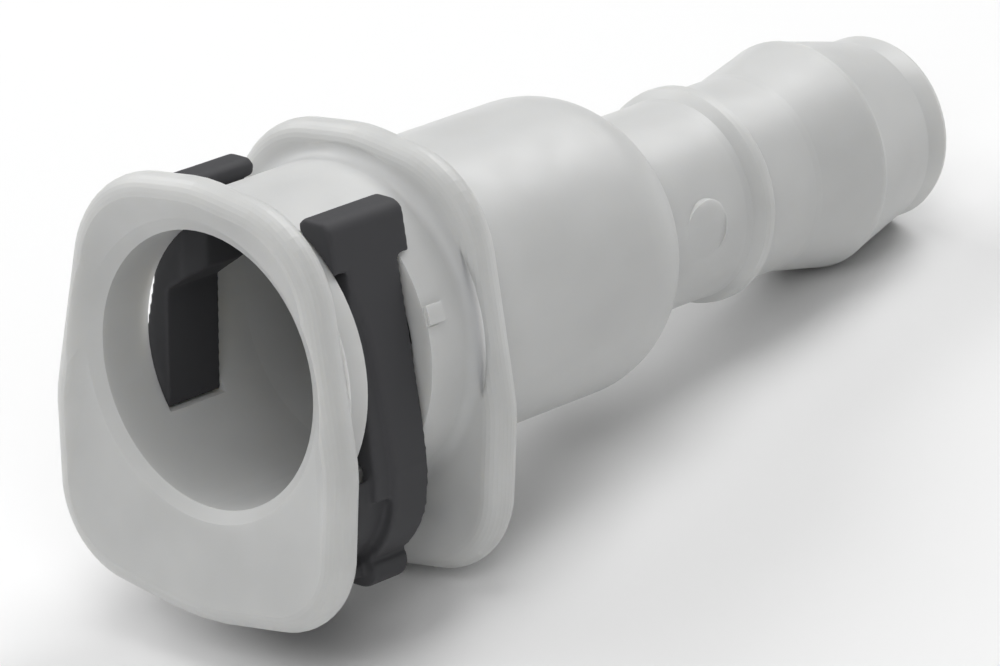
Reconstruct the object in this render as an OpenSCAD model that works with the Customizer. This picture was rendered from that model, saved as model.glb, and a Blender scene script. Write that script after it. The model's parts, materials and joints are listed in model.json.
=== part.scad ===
// Quick connector for a washer fluid line: a moulded socket with two flanges and a hose barb,
// a spring clip that slides through the neck, and the seal stack inside the housing.
// The pieces are drawn along the X axis, mouth first, and then laid down as they come to rest.

/* [Flanges] */
// Thickness of each flange, whose rim is fully rounded
flange_t = 1.7; // [1.4:0.1:2]
// Distance from the first flange to the second, centre to centre
flange_pitch = 9.55; // [9.3:0.05:9.8]
// Half width of a flange at its widest place
flange_half_w = 8.1; // [7.9:0.05:8.3]
// Height of a flange above the bore axis
flange_top = 8.2; // [8.0:0.05:8.4]
// Depth of a flange below the bore axis
flange_bottom = 10.65; // [10.4:0.05:10.9]

/* [Neck and housing] */
// Radius of the neck between the flanges
neck_r = 6.85; // [6.8:0.05:6.95]
// Radius of the seal housing
housing_r = 6.55; // [6.4:0.05:6.6]
// Distance from the mouth to the start of the housing's shoulder
dome_x = 21.35; // [21:0.05:21.7]
// Radius of the shoulder, which ends in a straight slope
dome_r = 4; // [3.8:0.1:4.2]

/* [Hose barb] */
// Radius of the land behind the housing
land_r = 4.42; // [4.3:0.02:4.5]
// Distance from the mouth to the hose stop rib
stop_x = 30.55; // [30:0.05:31]
// Width of the hose stop rib
stop_w = 0.9; // [0.7:0.1:1.2]
// Radius of the hose stop rib
stop_r = 4.82; // [4.7:0.02:5]
// Distance from the mouth to the foot of the barb's long slope
barb_foot_x = 35; // [34.5:0.1:35.5]
// Distance from the mouth to the barb's crest
barb_crest_x = 38.5; // [38.1:0.1:38.9]
// Radius of the barb's crest
barb_r = 5.15; // [5:0.05:5.3]
// Distance from the mouth to the start of the hose tip
tip_x = 42.8; // [42.4:0.1:43]
// Radius of the hose tip
tip_r = 4.14; // [4.1:0.02:4.2]
// Distance from the mouth to the end of the hose tip
body_len = 44.3; // [44:0.1:45]

/* [Passages] */
// Radius of the socket that takes the plug's collar
socket_r = 5.87; // [5.8:0.01:5.95]
// Radius of the crease round the mouth
mouth_r = 6.45; // [6.35:0.05:6.55]
// Distance from the mouth to the windows in the neck
window_x = 3.62; // [3.5:0.02:3.7]
// Width of the windows, along the connector
window_w = 3.28; // [3.1:0.02:3.4]
// Radius of the bay that holds the seals
seal_bay_r = 5.3; // [5.2:0.02:5.4]
// Radius of the bore that guides the plug's tip
guide_r = 4.1; // [4.05:0.01:4.2]
// Radius of the flow bore through the barb
flow_r = 2.9; // [2.6:0.05:3]

/* [Locking clip] */
// Distance from the bore axis to the locking rib of each leg
rib_y = 4.85; // [4.7:0.05:5]
// Distance from the bore axis to the outside of a leg at its widest
leg_y = 6.84; // [6.75:0.03:6.9]
// Height of the heads above the bore axis
head_high = 6.75; // [6.65:0.05:6.9]
// Length of the heads along the connector
head_len = 4.45; // [4.2:0.05:4.6]
// How far the clip slides when its bar is pressed
travel = 1; // [0.8:0.05:1]
// Gap between the clip and the neck
clip_gap = 0.08; // [0.05:0.01:0.1]

/* [Hidden] */
$fn = 96;
natural = [0.80, 0.80, 0.79];
charcoal = [0.17, 0.17, 0.17];
seal_black = [0.09, 0.09, 0.09];
bush_grey = [0.72, 0.72, 0.70];
eps = 0.01;

// Flange rims are rounded over half their thickness
rim_r = flange_t / 2;
flange1_x = rim_r;
flange2_x = flange1_x + flange_pitch;
housing_x = flange2_x + rim_r;

// The shoulder turns through this angle, and its slope runs until it has come down to the land
slope = 45;
slope_x = dome_x + dome_r * sin(slope);
slope_r = housing_r - dome_r * (1 - cos(slope));
dome_end = slope_x + (slope_r - land_r) / tan(slope);

// Mouth: a shallow dish, then a lead-in chamfer to the socket
mouth_depth = 0.5;
lead_in = 0.45;
root_fillet = 0.4;

// Socket, guiding cone and seal bay, one after the other
cone_x = 9.4;
bay_x = 13.2;
retainer_x = 13.7;
retainer_len = 2.2;
cord_d = 1.6;
spacer_len = 1.2;
ring1_x = retainer_x + retainer_len;
spacer_x = ring1_x + cord_d;
ring2_x = spacer_x + spacer_len;
bay_end = ring2_x + cord_d;
guide_end = bay_end + 3.2;
flow_chamfer = 0.6;
seal_squeeze = 0.06;
seal_play = 0.01;
seal_wall = 1.15;
ring_mid_r = seal_bay_r + seal_squeeze - cord_d / 2;

// Windows in the neck, open at the sides, their front walls bevelled outwards
window_low = -3.62;
window_in = 3.15;
window_bevel = 0.52;

// Clip section, seen along the connector: the locking rib and the hook reach into the socket
rib_low = window_low + 0.12;
rib_high = 1.6;
hook_y = window_in + 0.15;
hook_z = 2.75;
head_low = 4.65;
head_y = leg_y - 1.84;
head_round = 0.7;

// The leg leans outwards and then bends round under the neck to the push bar
leg_top_y = leg_y - 1.57;
leg_mid_y = leg_y - 0.27;
leg_mid_z = -1.97;
bend_z = -4.9;
bend_r = 4;
bend_y = leg_y - bend_r;
leg_t = 0.95;
bar_top = bend_z - bend_r + leg_t;
bar_low = bar_top - 1.25;
pad_y = leg_y - 1.14;
pad_round = 0.75;

// Clip along the connector: a raised face on each leg, and a step that widens the clip below
step = 0.5;
rib_x = window_x + clip_gap;
rib_end = window_x + window_w - clip_gap;
head_x = rib_x - 0.75;
low_x = rib_x - 0.7;
face_end = rib_end - 0.1;

// Rest: the second flange's lower rim and the end of the hose tip touch the ground
tip_edge = 0.35;
rim_z = rim_r - flange_bottom;
touch_x = body_len - tip_edge - flange2_x;
touch_z = -tip_r - rim_z;
rest_tilt = atan2(touch_z, touch_x) + asin(rim_r / norm([touch_x, touch_z]));
rest_z = rim_r - rim_z * cos(rest_tilt) + flange2_x * sin(rest_tilt);

// The origin is under the middle of the resting connector
front_x = flange1_x * cos(rest_tilt) + rim_z * sin(rest_tilt) - rim_r;
back_x = body_len * cos(rest_tilt) + (tip_r - tip_edge) * sin(rest_tilt);

// Lays the connector, drawn along X with its bore on the axis, down on the ground
module at_rest() {
    translate([-(front_x + back_x) / 2, 0, rest_z]) rotate([0, rest_tilt, 0]) children();
}

// Turns a section drawn as radius across and distance from the mouth upwards
module turned() {
    rotate([0, 90, 0]) rotate_extrude() children();
}

// A disc with a fully rounded rim, standing across the axis
module rounded_disc(y, z, r) {
    translate([0, y, z]) rotate([0, 90, 0]) rotate_extrude($fn = 56) {
        translate([0, -rim_r]) square([r - rim_r, flange_t]);
        intersection() {
            translate([r - rim_r, 0]) circle(rim_r, $fn = 28);
            translate([0, -rim_r]) square([r, flange_t]);
        }
    }
}

// Circles that shape a flange: Y, Z and radius. It is arched at the top and squarer at the bottom.
top_r = 6.5;
shoulder_r = 4.9;
side_r = 6.2;
corner_r = 4.05;
base_r = 12;
base_half_w = 3;
function flange_circles(side) = [
    [0, flange_top - top_r, top_r],
    [side * (flange_half_w - 1.1 - shoulder_r), flange_top - 0.25 - shoulder_r, shoulder_r],
    [side * (flange_half_w - side_r), -2.9, side_r],
    [side * (flange_half_w - 0.15 - corner_r), 0.5 + corner_r - flange_bottom, corner_r]
];

// A flange, whose lower edge is only slightly curved
module flange(x) {
    translate([x, 0, 0]) hull() {
        for (side = [-1, 1], c = flange_circles(side)) rounded_disc(c[0], c[1], c[2]);
        intersection() {
            rounded_disc(0, base_r - flange_bottom, base_r);
            translate([0, 0, -flange_bottom]) cube([2 * flange_t, 2 * base_half_w, 4], center = true);
        }
    }
}

// The same outline, drawn flat in Y and Z
module flange_outline() {
    hull() {
        for (side = [-1, 1], c = flange_circles(side)) translate([c[0], c[1]]) circle(c[2], $fn = 56);
        intersection() {
            translate([0, base_r - flange_bottom]) circle(base_r, $fn = 112);
            translate([0, -flange_bottom]) square([2 * base_half_w, 4], center = true);
        }
    }
}

// Half section of the turned outside, from the first flange to the hose tip
module outside_section() {
    translate([0, flange1_x]) square([neck_r, flange_pitch]);
    translate([0, flange2_x]) square([housing_r, dome_x - flange2_x]);
    intersection() {
        translate([housing_r - dome_r, dome_x]) circle(dome_r);
        translate([0, dome_x]) square([housing_r, slope_x - dome_x]);
    }
    polygon([[0, dome_x], [housing_r - dome_r, dome_x], [slope_r, slope_x], [land_r, dome_end], [0, dome_end]]);
    translate([0, dome_x]) square([land_r, barb_foot_x - dome_x - 2]);
    translate([0, stop_x]) stop_rib_section();
    barb_section();
}

// The rib that stops the hose: a soft slope in front, a rounded top and a steeper back
module stop_rib_section() {
    rise = stop_r - land_r;
    polygon([[0, -0.7], [land_r, -0.7], [land_r + 0.1 * rise, -0.3], [land_r + 0.55 * rise, 0],
        [land_r + 0.9 * rise, 0.22], [stop_r, 0.45], [stop_r, stop_w - 0.2], [stop_r - 0.15, stop_w],
        [land_r, stop_w + 0.15], [0, stop_w + 0.15]]);
}

// The hose barb: a long slope up, a crisp crest, a slope down and a straight tip with an eased end
module barb_section() {
    crest_ease = 0.2;
    end_ease = 0.1;
    polygon([[0, barb_foot_x - 3], [land_r, barb_foot_x - 3], [land_r, barb_foot_x - 0.4],
        [land_r + 0.03, barb_foot_x], [barb_r - 0.06, barb_crest_x - crest_ease], [barb_r, barb_crest_x],
        [barb_r - 0.07, barb_crest_x + crest_ease], [tip_r, tip_x], [tip_r, body_len - tip_edge],
        [tip_r - end_ease, body_len - end_ease], [tip_r - tip_edge, body_len], [0, body_len]]);
}

// Concave fillets where the neck and the housing meet the flanges
module root_fillets_section() {
    small = root_fillet;
    large = root_fillet + 0.2;
    for (root = [[neck_r, flange1_x + rim_r, 1, small], [neck_r, flange2_x - rim_r, -1, large],
        [housing_r, housing_x, 1, small]])
        difference() {
            translate([root[0] - eps, root[1] - (root[2] < 0 ? root[3] : eps)])
                square([root[3] + eps, root[3] + eps]);
            translate([root[0] + root[3], root[1] + root[2] * root[3]]) circle(root[3]);
        }
}

// Shallow dish in the front face, from the flange's rim down past the crease round the mouth
module mouth_dish() {
    past = 0.15;
    hull() {
        rotate([90, 0, 90]) linear_extrude(eps) offset(-rim_r) flange_outline();
        translate([-1, 0, 0]) rotate([0, 90, 0])
            cylinder(r = mouth_r - past, h = 1 + mouth_depth + past / 2, $fn = 96);
    }
}

// Half section of every passage, from the crease round the mouth to the hose tip
module passage_section() {
    front_r = mouth_r + (mouth_r - socket_r) * (1 + mouth_depth) / lead_in;
    polygon([[0, -1], [front_r, -1], [mouth_r, mouth_depth], [socket_r, mouth_depth + lead_in],
        [socket_r, cone_x], [seal_bay_r, bay_x], [seal_bay_r, bay_end], [guide_r, bay_end],
        [guide_r, guide_end], [flow_r, guide_end + guide_r - flow_r], [flow_r, body_len - flow_chamfer],
        [flow_r + flow_chamfer, body_len + eps], [0, body_len + eps]]);
}

// Half section of the ring that the windows are cut from
module window_section() {
    polygon([[socket_r - 1, window_x], [socket_r, window_x], [neck_r, window_x - window_bevel],
        [neck_r + 1, window_x - window_bevel], [neck_r + 1, window_x + window_w], [socket_r - 1, window_x + window_w]]);
}

// The two side windows of the neck, which the clip's legs pass through
module windows() {
    reach = 12;
    intersection() {
        turned() window_section();
        for (side = [-1, 1])
            translate([0, side > 0 ? window_in : -window_in - reach, window_low]) cube([12, reach, reach]);
    }
}

// Moulding marks behind the near window: a low land left by the side core, and a small square nub
module side_core_marks() {
    land_len = window_x + window_w + 0.65;
    intersection() {
        turned() translate([0, window_x]) square([neck_r + 0.06, land_len - window_x]);
        translate([window_x, -neck_r - 1, window_low + 0.8]) cube([land_len, 3, 4.6]);
    }
    rotate([-19, 0, 0]) translate([window_x + window_w + 0.55, -neck_r, 0]) cube([0.9, 0.3, 0.8], center = true);
}

// The round flat that a pin leaves on the land
pin_mark_r = 1.3;
pin_mark_y = -land_r + 0.07;
module at_pin_mark() {
    translate([dome_end + 2.1, pin_mark_y, 0.35]) rotate([90, 0, 0]) children();
}

module connector_body() {
    color(natural) at_rest() difference() {
        union() {
            flange(flange1_x);
            flange(flange2_x);
            turned() outside_section();
            turned() root_fillets_section();
            side_core_marks();
            at_pin_mark() translate([0, 0, -1]) cylinder(r = pin_mark_r, h = 1, $fn = 48);
        }
        at_pin_mark() cylinder(r = pin_mark_r, h = 1, $fn = 48);
        mouth_dish();
        turned() passage_section();
        windows();
    }
}

// Half of the clip's section across the connector, its outside set in by a given amount
module clip_section(inset) {
    out = leg_y - inset;
    polygon([[rib_y, rib_low], [rib_y, rib_high], [hook_y, hook_z], [hook_y, head_high - 0.25],
        [hook_y + 0.25, head_high], [head_y - inset - head_round, head_high],
        [head_y - inset, head_high - head_round], [leg_top_y - inset, head_low], [leg_mid_y - inset, leg_mid_z],
        [out, -3.8], [out, bend_z], [leg_y - leg_t, bend_z], [leg_y - leg_t, rib_low]]);
    // rounded outer corner of the head
    intersection() {
        translate([head_y - inset - head_round, head_high - head_round]) circle(head_round);
        translate([hook_y, head_low]) square(head_high);
    }
    // bend under the neck
    intersection() {
        difference() {
            translate([bend_y, bend_z]) circle(bend_r - inset);
            translate([bend_y, bend_z]) circle(bend_r - leg_t);
        }
        translate([bend_y, bend_z - bend_r]) square(bend_r);
    }
    // push bar
    translate([0, bar_low + inset]) square([pad_y - pad_round, bar_top - bar_low - inset]);
    translate([0, bar_low + pad_round]) square([pad_y - inset, pad_round / 2]);
    translate([pad_y - pad_round, bar_low + pad_round]) circle(pad_round - inset);
}

// What the neck takes from the clip, from rest to fully pressed
module neck_sweep() {
    for (drop = [0, travel]) translate([0, -drop]) circle(neck_r + clip_gap);
}

// The raised face of the legs seen from the side, flaring forwards to the head
module face_side() {
    polygon([[head_x, head_high], [head_x, 5], [rib_x - 0.2, 4.5], [rib_x + 0.25, 3.3], [rib_x + 0.65, 2],
        [rib_x + 0.75, 0], [rib_x + 0.95, -4.2], [rib_x + 0.95, bar_low], [face_end, bar_low], [face_end, head_high]]);
}

// Extrudes a section drawn in Y and Z from one place along the connector to another
module across(from, to) {
    translate([from, 0, 0]) rotate([90, 0, 90]) linear_extrude(to - from) children();
}

// Lead-in that slants the front inner edge of a hook
module hook_lead_in() {
    slant = 0.65;
    depth = 0.9;
    translate([0, 0, hook_z - 0.6]) linear_extrude(head_high)
        polygon([[head_x - 1, -1], [head_x - 1, hook_y + slant], [rib_x, hook_y + slant], [rib_x + depth, hook_y],
            [rib_x + depth, -1]]);
}

// One side of the clip, with half of its push bar
module clip_half() {
    difference() {
        clip_half_solid();
        hook_lead_in();
    }
}

module clip_half_solid() {
    reach = 8;
    across(rib_x, rib_end) clip_section(step);
    across(low_x, rib_x) difference() {
        intersection() {
            clip_section(step);
            translate([0, rib_low - reach]) square(reach);
        }
        neck_sweep();
    }
    intersection() {
        across(rib_x, face_end) clip_section(0);
        translate([0, reach + 1, 0]) rotate([90, 0, 0]) linear_extrude(reach + 2) face_side();
    }
    across(head_x, head_x + head_len) difference() {
        intersection() {
            clip_section(0);
            translate([0, head_low]) square(reach);
        }
        circle(neck_r + clip_gap);
    }
}

module locking_clip() {
    color(charcoal) at_rest() for (side = [0, 1]) mirror([0, side, 0]) clip_half();
}

// Ring of the seal cord, pressed flat where it meets the bay wall
module seal_ring(x) {
    at_rest() turned() intersection() {
        translate([ring_mid_r, x + cord_d / 2]) circle(cord_d / 2);
        translate([0, x]) square([seal_bay_r - seal_play, cord_d]);
    }
}

module o_ring_front() {
    color(seal_black) seal_ring(ring1_x);
}

module o_ring_rear() {
    color(seal_black) seal_ring(ring2_x);
}

// Plain ring between the two seals
module spacer_ring() {
    play = 0.03;
    color(bush_grey) at_rest() turned()
        translate([seal_bay_r - seal_wall, spacer_x]) square([seal_wall - play, spacer_len]);
}

// Pressed-in bush that keeps the seals in the bay, with a lead-in for the plug
module seal_retainer() {
    inner_r = seal_bay_r - seal_wall;
    color(bush_grey) at_rest() turned()
        polygon([[inner_r, retainer_x + 0.8], [inner_r + 0.8, retainer_x], [seal_bay_r, retainer_x],
            [seal_bay_r, retainer_x + retainer_len], [inner_r, retainer_x + retainer_len]]);
}

connector_body();
locking_clip();
seal_retainer();
o_ring_front();
spacer_ring();
o_ring_rear();
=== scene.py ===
"""Washer fluid line connector: its looks, light and camera, and an eased copy of its clip."""
import json
import math

import bmesh
import bpy
from mathutils import Matrix, Vector


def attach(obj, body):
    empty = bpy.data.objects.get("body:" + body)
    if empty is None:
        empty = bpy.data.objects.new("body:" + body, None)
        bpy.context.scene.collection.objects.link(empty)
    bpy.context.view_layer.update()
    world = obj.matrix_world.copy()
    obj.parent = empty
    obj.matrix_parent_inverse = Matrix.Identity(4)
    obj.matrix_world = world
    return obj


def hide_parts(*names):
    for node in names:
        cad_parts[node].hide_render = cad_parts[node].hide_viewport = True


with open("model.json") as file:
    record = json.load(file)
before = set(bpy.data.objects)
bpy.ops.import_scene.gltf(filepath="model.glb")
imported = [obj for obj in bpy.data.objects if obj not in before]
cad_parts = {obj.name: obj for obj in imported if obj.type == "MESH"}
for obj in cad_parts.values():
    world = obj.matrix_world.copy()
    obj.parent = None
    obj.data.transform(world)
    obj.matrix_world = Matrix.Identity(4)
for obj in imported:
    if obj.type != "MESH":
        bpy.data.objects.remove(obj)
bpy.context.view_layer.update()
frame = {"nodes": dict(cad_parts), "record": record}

mounts = {m["name"]: m for m in frame["record"]["mounts"]}

MM = 0.001

# The clip's edges are eased on a fine grid, whose step is in metres. Points closer together than WELD
# are joined first.
CLIP_VOXEL = 0.00009
CLIP_EASE_STEPS = 10
EASE_FACTOR = 0.5
WELD = 1e-7

# The clip's fillings: an outline across and up from the bore's axis, then a start and an end along it, in
# millimetres. The first is the inner corner of the head, and the second is the leg's front band.
CLIP_FILLINGS = [
    ([(3.3, 6.15), (4.6, 5.25), (4.6, 6.7), (3.55, 6.75), (3.3, 6.5)], 2.95, 4.8),
    ([(4.9, 4.7), (5.1, 4.65), (6.4, -1.97), (6.66, -3.8),
      (6.66, -4.9), (5.9, -4.9), (5.9, -3.4), (5, 0)], 3.7, 5.5),
]

# Colours, each from one end of a blend to the other
BODY_COLOURS = (0.57, 0.575, 0.57), (0.61, 0.615, 0.61)
BUSH_COLOURS = (0.52, 0.52, 0.51), (0.56, 0.56, 0.55)
CLIP_COLOURS = (0.010, 0.010, 0.0105), (0.020, 0.020, 0.021)
RUBBER_COLOURS = (0.014, 0.014, 0.014), (0.028, 0.028, 0.03)
FLOOR_COLOURS = (0.83, 0.83, 0.83), (0.85, 0.85, 0.85)
BODY_ROUGHNESS = 0.44
BUSH_ROUGHNESS = 0.42
PLASTIC_IOR = 1.5

# Floor and lights, in metres and watts. Every light is a round soft box of one size and has the same aim.
FLOOR_SIZE = 6
FLOOR_DROP = 0.00005
WORLD_STRENGTH = 0.04
LIGHT_SIZE = 0.30
LIGHT_AIM = (0, 0, 0.01)
LIGHTS = [
    ("far_side", (0, 0.39, 0.31), 0.95),
    ("behind", (0.37, 0, 0.33), 1.35),
    ("front_near_side", (-0.23, -0.23, 0.30), 0.62),
    ("front_far_side", (-0.23, 0.23, 0.30), 0.45),
    ("top", (0.01, 0, 0.50), 0.60),
]

# Camera, measured against the bore's axis. Lengths are in metres and angles in degrees.
AIM_DEPTH = 0.01157
DISTANCE = 0.2925
AZIMUTH = 41.439
ELEVATION = 19.341
ROLL = -0.138
SIDESTEP = 0.00482
DROP = 0.00113
LENS_MM = 254.3
SENSOR_MM = 36
NEAREST = 0.01
FARTHEST = 20


def bore_axes():
    """The mouth's centre, and the connector's own directions: along the bore, across it and up."""
    socket = mounts["plug_socket"]
    along = -Vector(socket["axis"]).normalized()
    across = Vector((0, 1, 0))
    return Vector(socket["pos_m"]), along, across, along.cross(across)


# Materials

def new_material(name):
    """A material with one Principled shader, its node tree and the shader."""
    mat = bpy.data.materials.new(name)
    mat.use_nodes = True
    tree = mat.node_tree
    return mat, tree, tree.nodes["Principled BSDF"]


def noise(tree, scale, detail=3.0, rough=0.5, stretch=(1, 1, 1)):
    """Noise in object space, with scale in waves a metre."""
    coords = tree.nodes.new("ShaderNodeTexCoord")
    mapping = tree.nodes.new("ShaderNodeMapping")
    mapping.inputs["Scale"].default_value = stretch
    tex = tree.nodes.new("ShaderNodeTexNoise")
    tex.inputs["Scale"].default_value = scale
    tex.inputs["Detail"].default_value = detail
    tex.inputs["Roughness"].default_value = rough
    tree.links.new(coords.outputs["Object"], mapping.inputs["Vector"])
    tree.links.new(mapping.outputs["Vector"], tex.inputs["Vector"])
    return tex.outputs["Fac"]


def ramp(tree, fac, colours, at=(0.35, 0.65)):
    """Blends two colours over part of a factor's range."""
    node = tree.nodes.new("ShaderNodeValToRGB")
    first, last = node.color_ramp.elements
    first.position, last.position = at
    first.color = (*colours[0], 1)
    last.color = (*colours[1], 1)
    tree.links.new(fac, node.inputs["Fac"])
    return node.outputs["Color"]


def span(tree, fac, low, high, at=(0.3, 0.7)):
    """Maps part of a factor's range to two numbers."""
    node = tree.nodes.new("ShaderNodeMapRange")
    node.inputs["From Min"].default_value = at[0]
    node.inputs["From Max"].default_value = at[1]
    node.inputs["To Min"].default_value = low
    node.inputs["To Max"].default_value = high
    tree.links.new(fac, node.inputs["Value"])
    return node.outputs["Result"]


def bump(tree, shader, height, distance, strength, under=None):
    """Raises a height over the surface, on top of another bump if one is given."""
    node = tree.nodes.new("ShaderNodeBump")
    node.inputs["Strength"].default_value = strength
    node.inputs["Distance"].default_value = distance
    tree.links.new(height, node.inputs["Height"])
    if under:
        tree.links.new(under, node.inputs["Normal"])
    tree.links.new(node.outputs["Normal"], shader.inputs["Normal"])
    return node.outputs["Normal"]


def natural_plastic(name, colours, rough):
    """Moulded natural plastic: light passes a little way in, with faint flow marks and a fine skin."""
    mat, tree, shader = new_material(name)
    clouds = noise(tree, 260, detail=2.0, stretch=(0.6, 1, 1))
    tree.links.new(ramp(tree, clouds, colours), shader.inputs["Base Color"])
    wear = noise(tree, 700)
    tree.links.new(span(tree, wear, rough - 0.04, rough + 0.05), shader.inputs["Roughness"])
    shader.inputs["Subsurface Weight"].default_value = 0.6
    shader.inputs["Subsurface Radius"].default_value = (1.0, 0.95, 0.85)
    shader.inputs["Subsurface Scale"].default_value = 0.0012
    shader.inputs["IOR"].default_value = PLASTIC_IOR
    flow_marks = bump(tree, shader, noise(tree, 420, detail=1.0), 0.00005, 0.5)
    bump(tree, shader, noise(tree, 5200, detail=2.0), 0.000006, 0.35, under=flow_marks)
    return mat


def black_plastic(name):
    """Black moulded plastic with a spark-eroded grain and pale rubbed streaks."""
    mat, tree, shader = new_material(name)
    scuffs = noise(tree, 900, detail=5.0, rough=0.7, stretch=(1, 2.2, 0.5))
    tree.links.new(ramp(tree, scuffs, CLIP_COLOURS, at=(0.52, 0.8)), shader.inputs["Base Color"])
    wear = noise(tree, 1500)
    tree.links.new(span(tree, wear, 0.42, 0.58), shader.inputs["Roughness"])
    shader.inputs["IOR"].default_value = PLASTIC_IOR
    bump(tree, shader, noise(tree, 6500, detail=3.0), 0.00001, 0.6)
    return mat


def seal_rubber(name):
    """Matte black rubber with a little bloom."""
    mat, tree, shader = new_material(name)
    bloom = noise(tree, 1200, detail=4.0)
    tree.links.new(ramp(tree, bloom, RUBBER_COLOURS), shader.inputs["Base Color"])
    tree.links.new(span(tree, bloom, 0.5, 0.68), shader.inputs["Roughness"])
    bump(tree, shader, noise(tree, 5000), 0.000008, 0.4)
    return mat


def dress(node, mat):
    """Gives a CAD node its material."""
    mesh = frame["nodes"][node].data
    mesh.materials.clear()
    mesh.materials.append(mat)


# The clip's eased copy

def prism(shape, outline, start, end, side):
    """Adds a prism to a mesh: its outline is across and up from the bore's axis, in millimetres."""
    mouth, along, across, up = bore_axes()
    rings = []
    for depth in (start, end):
        points = [mouth + MM * (depth * along + side * y * across + z * up) for y, z in outline]
        rings.append([shape.verts.new(point) for point in points])
    shape.faces.new(rings[0])
    shape.faces.new(rings[1])
    for first in range(len(outline)):
        second = (first + 1) % len(outline)
        shape.faces.new((rings[0][first], rings[0][second], rings[1][second], rings[1][first]))


def filled_clip():
    """The CAD clip's mesh with a filling of each kind on both sides."""
    mesh = frame["nodes"]["locking_clip"].data.copy()
    shape = bmesh.new()
    shape.from_mesh(mesh)
    bmesh.ops.remove_doubles(shape, verts=shape.verts, dist=WELD)
    for side in (1, -1):
        for outline, start, end in CLIP_FILLINGS:
            prism(shape, outline, start, end, side)
    bmesh.ops.recalc_face_normals(shape, faces=shape.faces)
    shape.to_mesh(mesh)
    shape.free()
    return mesh


def eased_clip():
    """The filled clip with the soft edges of a moulding, which stands for the CAD's clip."""
    piece = bpy.data.objects.new("clip_moulding", filled_clip())
    bpy.context.collection.objects.link(piece)
    remesh = piece.modifiers.new("remesh", "REMESH")
    remesh.mode = "VOXEL"
    remesh.voxel_size = CLIP_VOXEL
    ease = piece.modifiers.new("ease", "SMOOTH")
    ease.factor = EASE_FACTOR
    ease.iterations = CLIP_EASE_STEPS
    evaluated = piece.evaluated_get(bpy.context.evaluated_depsgraph_get())
    piece.data = bpy.data.meshes.new_from_object(evaluated)
    piece.modifiers.clear()
    for face in piece.data.polygons:
        face.use_smooth = True
    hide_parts("locking_clip")
    return piece


# Floor, lights and camera

def make_floor():
    """A wide pale sheet just under the connector."""
    bpy.ops.mesh.primitive_plane_add(size=FLOOR_SIZE, location=(0, 0, -FLOOR_DROP))
    floor = bpy.context.object
    floor.name = "floor"
    mat, tree, shader = new_material("pale_paper")
    tree.links.new(ramp(tree, noise(tree, 3), FLOOR_COLOURS), shader.inputs["Base Color"])
    shader.inputs["Roughness"].default_value = 0.9
    shader.inputs["Specular IOR Level"].default_value = 0.1
    floor.data.materials.append(mat)


def area_light(name, place, watts):
    """A round soft box that faces the connector."""
    data = bpy.data.lights.new(name, "AREA")
    data.shape = "DISK"
    data.size = LIGHT_SIZE
    data.energy = watts
    light = bpy.data.objects.new(name, data)
    light.location = place
    light.rotation_mode = "QUATERNION"
    light.rotation_quaternion = (Vector(LIGHT_AIM) - Vector(place)).to_track_quat("-Z", "Y")
    bpy.context.collection.objects.link(light)


def make_lights():
    """Soft boxes around and above, and a weak world light. The Standard view keeps the whites clean."""
    world = bpy.data.worlds.new("studio")
    world.use_nodes = True
    back = world.node_tree.nodes["Background"]
    back.inputs["Color"].default_value = (1, 1, 1, 1)
    back.inputs["Strength"].default_value = WORLD_STRENGTH
    bpy.context.scene.world = world
    bpy.context.scene.view_settings.view_transform = "Standard"
    for name, place, watts in LIGHTS:
        area_light(name, place, watts)


def make_camera():
    """A long lens that looks at the connector from the photograph's angle."""
    mouth, along, across, up_axis = bore_axes()
    a, e, r = math.radians(AZIMUTH), math.radians(ELEVATION), math.radians(ROLL)
    ahead = math.cos(e) * (math.cos(a) * along + math.sin(a) * across) - math.sin(e) * up_axis
    right = ahead.cross(up_axis).normalized()
    up = right.cross(ahead)
    right, up = math.cos(r) * right + math.sin(r) * up, math.cos(r) * up - math.sin(r) * right
    place = mouth + AIM_DEPTH * along + SIDESTEP * right - DROP * up - DISTANCE * ahead
    data = bpy.data.cameras.new("camera")
    data.lens = LENS_MM
    data.sensor_width = SENSOR_MM
    data.clip_start = NEAREST
    data.clip_end = FARTHEST
    camera = bpy.data.objects.new("camera", data)
    camera.matrix_world = Matrix((
        (right.x, up.x, -ahead.x, place.x),
        (right.y, up.y, -ahead.y, place.y),
        (right.z, up.z, -ahead.z, place.z),
        (0, 0, 0, 1),
    ))
    bpy.context.collection.objects.link(camera)
    bpy.context.scene.camera = camera


body_plastic = natural_plastic("natural_plastic", BODY_COLOURS, BODY_ROUGHNESS)
bush_plastic = natural_plastic("bush_plastic", BUSH_COLOURS, BUSH_ROUGHNESS)
clip_plastic = black_plastic("clip_plastic")
ring_rubber = seal_rubber("ring_rubber")

dress("connector_body", body_plastic)

clip = eased_clip()
clip.data.materials.append(clip_plastic)
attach(clip, "clip")

dress("seal_retainer", bush_plastic)
dress("spacer_ring", bush_plastic)
dress("o_ring_front", ring_rubber)
dress("o_ring_rear", ring_rubber)

make_floor()
make_lights()
make_camera()
